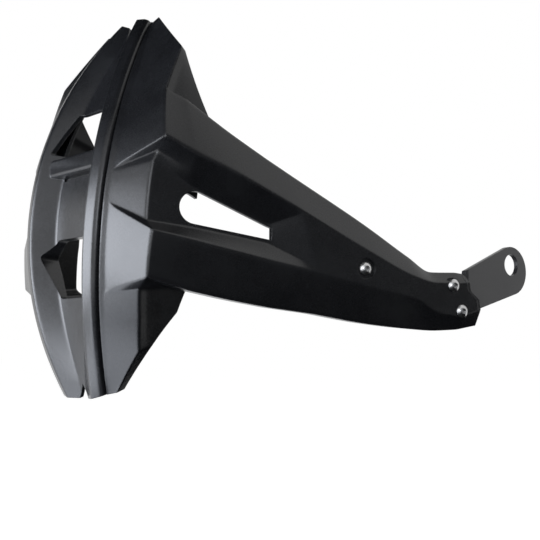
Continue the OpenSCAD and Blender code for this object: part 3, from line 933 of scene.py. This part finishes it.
def surface(name, dark, light, rough, grain, grain_depth, edge_radius, metallic=0.0, edge_wear_and_highlight=None,
            edge_wear_and_highlight_share=0.0):
    """A procedural finish: mottled colour, uneven gloss, fine grain, softened edges, and convex
    edges lightened as wear and as a painted highlight.
    """
    material = bpy.data.materials.new(name)
    n = Nodes(material)
    place = n.add("ShaderNodeTexCoord").outputs["Object"]
    broad = n.noise(place, scale=22.0, detail=4.0)
    cloudy = n.noise(place, scale=95.0, detail=5.0)
    fine = n.noise(place, scale=grain, detail=2.0, roughness=0.6)
    colour = n.mix(n.ramp(broad, 0.35, 0.65, 0.0, 1.0), dark, light)
    colour = n.mix(n.ramp(cloudy, 0.45, 0.75, 0.0, 0.35), colour, light)
    # Convex edges take a lighter colour for wear; on the plastic this is also a painted highlight
    # along the creases
    if edge_wear_and_highlight:
        point = n.add("ShaderNodeNewGeometry").outputs["Pointiness"]
        colour = n.mix(n.ramp(point, 0.52, 0.62, 0.0, edge_wear_and_highlight_share), colour, edge_wear_and_highlight)
    gloss = n.ramp(broad, 0.3, 0.7, *rough)
    gloss_fine = n.ramp(fine, 0.3, 0.7, -0.03, 0.03)
    bevel = n.add("ShaderNodeBevel", {"Radius": edge_radius}, samples=4)
    bump = n.add("ShaderNodeBump", {
        "Height": fine, "Normal": bevel.outputs["Normal"], "Strength": 0.35,
        "Distance": grain_depth,
    })
    shader = n.add("ShaderNodeBsdfPrincipled", {
        "Base Color": colour, "Roughness": n.math("ADD", gloss, gloss_fine),
        "Normal": bump.outputs["Normal"], "Metallic": metallic,
    })
    n.add("ShaderNodeOutputMaterial", {"Surface": shader.outputs["BSDF"]})
    return material


def paint(piece, material):
    piece.data.materials.clear()
    piece.data.materials.append(material)


plastic = surface(
    "moulded_plastic", dark=(0.005, 0.0052, 0.006), light=(0.0075, 0.0079, 0.009),
    rough=(0.24, 0.31), grain=2600.0, grain_depth=0.00005, edge_radius=0.0009,
    # Lighter convex edges: wear, and a painted highlight along the creases
    edge_wear_and_highlight=(0.05, 0.052, 0.056), edge_wear_and_highlight_share=0.15,
)
black_steel = surface(
    "black_steel", dark=(0.012, 0.012, 0.013), light=(0.018, 0.018, 0.02),
    rough=(0.3, 0.42), grain=900.0, grain_depth=0.00008, edge_radius=0.0006,
    edge_wear_and_highlight=(0.06, 0.06, 0.062), edge_wear_and_highlight_share=0.3,
)
zinc_steel = surface(
    "zinc_steel", dark=(0.5, 0.5, 0.5), light=(0.62, 0.62, 0.61),
    rough=(0.26, 0.4), grain=1800.0, grain_depth=0.00003, edge_radius=0.0003, metallic=1.0,
)

for piece, node in (
    (centre_skin(), "centre_panel"), (right_skin(), "right_panel"), (left_skin(), "left_panel"),
):
    shaded(piece)
    paint(piece, plastic)
    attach(piece, "root")
    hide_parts(node)

for name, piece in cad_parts.items():
    if name.startswith(("arm_screw", "arm_nut", "panel_screw")):
        finish = zinc_steel
    elif name == "bracket":
        finish = black_steel
    else:
        finish = plastic
    if piece.material_slots:
        for slot in piece.material_slots:
            slot.material = finish
    else:
        piece.data.materials.append(finish)


def facing(location, target):
    way = Vector(target) - Vector(location)
    return Matrix.Translation(location) @ way.to_track_quat("-Z", "Y").to_matrix().to_4x4()


def flat_sheet(name, width, height, z=0.0):
    x, y = width / 2, height / 2
    mesh = bpy.data.meshes.new(name)
    mesh.from_pydata([(-x, -y, z), (x, -y, z), (x, y, z), (-x, y, z)], [], [(0, 1, 2, 3)])
    return linked(name, mesh)


# Floor, which glows for the eye and in mirrors, so that it shows white and keeps its shadows
FLOOR_SIZE = 60.0
FLOOR_Z = -0.3
FLOOR_GLOW = 0.755
floor = flat_sheet("floor", FLOOR_SIZE, FLOOR_SIZE, FLOOR_Z)
floor_material = bpy.data.materials.new("floor")
n = Nodes(floor_material)
floor_shader = n.add("ShaderNodeBsdfPrincipled", {
    "Base Color": grey(0.82), "Roughness": 0.9, "Specular IOR Level": 0.0,
    "Emission Color": grey(1.0),
    "Emission Strength": n.math("MULTIPLY", n.plain_sight(), FLOOR_GLOW),
})
n.add("ShaderNodeOutputMaterial", {"Surface": floor_shader.outputs["BSDF"]})
paint(floor, floor_material)

# Surroundings: white to the eye and in mirrors, and a soft light on the object
SOFT_LIGHT = 0.3
world = bpy.data.worlds.new("studio")
scene.world = world
n = Nodes(world)
level = n.ramp(n.plain_sight(), 0.0, 1.0, SOFT_LIGHT, 1.0)
background = n.add("ShaderNodeBackground", {"Color": grey(1.0), "Strength": level})
n.add("ShaderNodeOutputWorld", {"Surface": background.outputs["Background"]})

COOL = (0.95, 1.0, 1.1)


def area_light(name, location, target, width, height, watts):
    lamp = bpy.data.lights.new(name, "AREA")
    lamp.shape = "RECTANGLE"
    lamp.size = width
    lamp.size_y = height
    lamp.energy = watts
    lamp.color = COOL
    piece = linked(name, lamp)
    piece.matrix_world = facing(location, target)
    piece.visible_camera = False


def flag(name, location, target, width, height, shade):
    """A dark card out of the camera's sight, which the gloss of the plastic mirrors."""
    card = flat_sheet(name, width, height)
    card.matrix_world = facing(location, target)
    card.visible_camera = False
    card.visible_shadow = False
    card.visible_diffuse = False
    cloth = bpy.data.materials.new(name)
    tree = Nodes(cloth)
    dull = tree.add("ShaderNodeBsdfDiffuse", {"Color": grey(shade)})
    tree.add("ShaderNodeOutputMaterial", {"Surface": dull.outputs["BSDF"]})
    paint(card, cloth)


# Name, place, aim, width, height and watts
for lamp in (
    ("key", (-1.77, 0.75, 0.06), (-0.2, 0.12, 0.04), 1.3, 1.1, 42),
    ("fill", (-1.6, -0.96, 0.39), (-0.33, 0.11, 0.04), 0.8, 0.7, 7.5),
    ("low_fill", (-0.86, 0.24, -0.28), (-0.86, 0.24, 1.0), 0.75, 0.35, 3.4),
):
    area_light(*lamp)

# Name, place, aim, width, height and shade
for card in (
    ("side_flag", (-0.2, -1.5, 0.0), (-0.2, 0.1, 0.0), 2.0, 2.8, 0.25),
    ("top_flag", (-0.6, 0.6, 1.0), (-0.35, 0.2, 0.0), 2.4, 2.4, 0.01),
    ("floor_flag", (-0.35, -0.6, -0.29), (-0.35, -0.6, 1.0), 1.5, 1.9, 0.01),
):
    flag(*card)

CAMERA_AT = Vector((-0.73845, -0.55149, -0.07676))
CAMERA_LOOK = Vector((0.64417, 0.76063, 0.08056))
camera_data = bpy.data.cameras.new("camera")
camera_data.lens = 70
camera_data.sensor_width = 36
camera = linked("camera", camera_data)
camera.matrix_world = facing(CAMERA_AT, CAMERA_AT + CAMERA_LOOK)
scene.camera = camera
scene.view_settings.view_transform = "Standard"
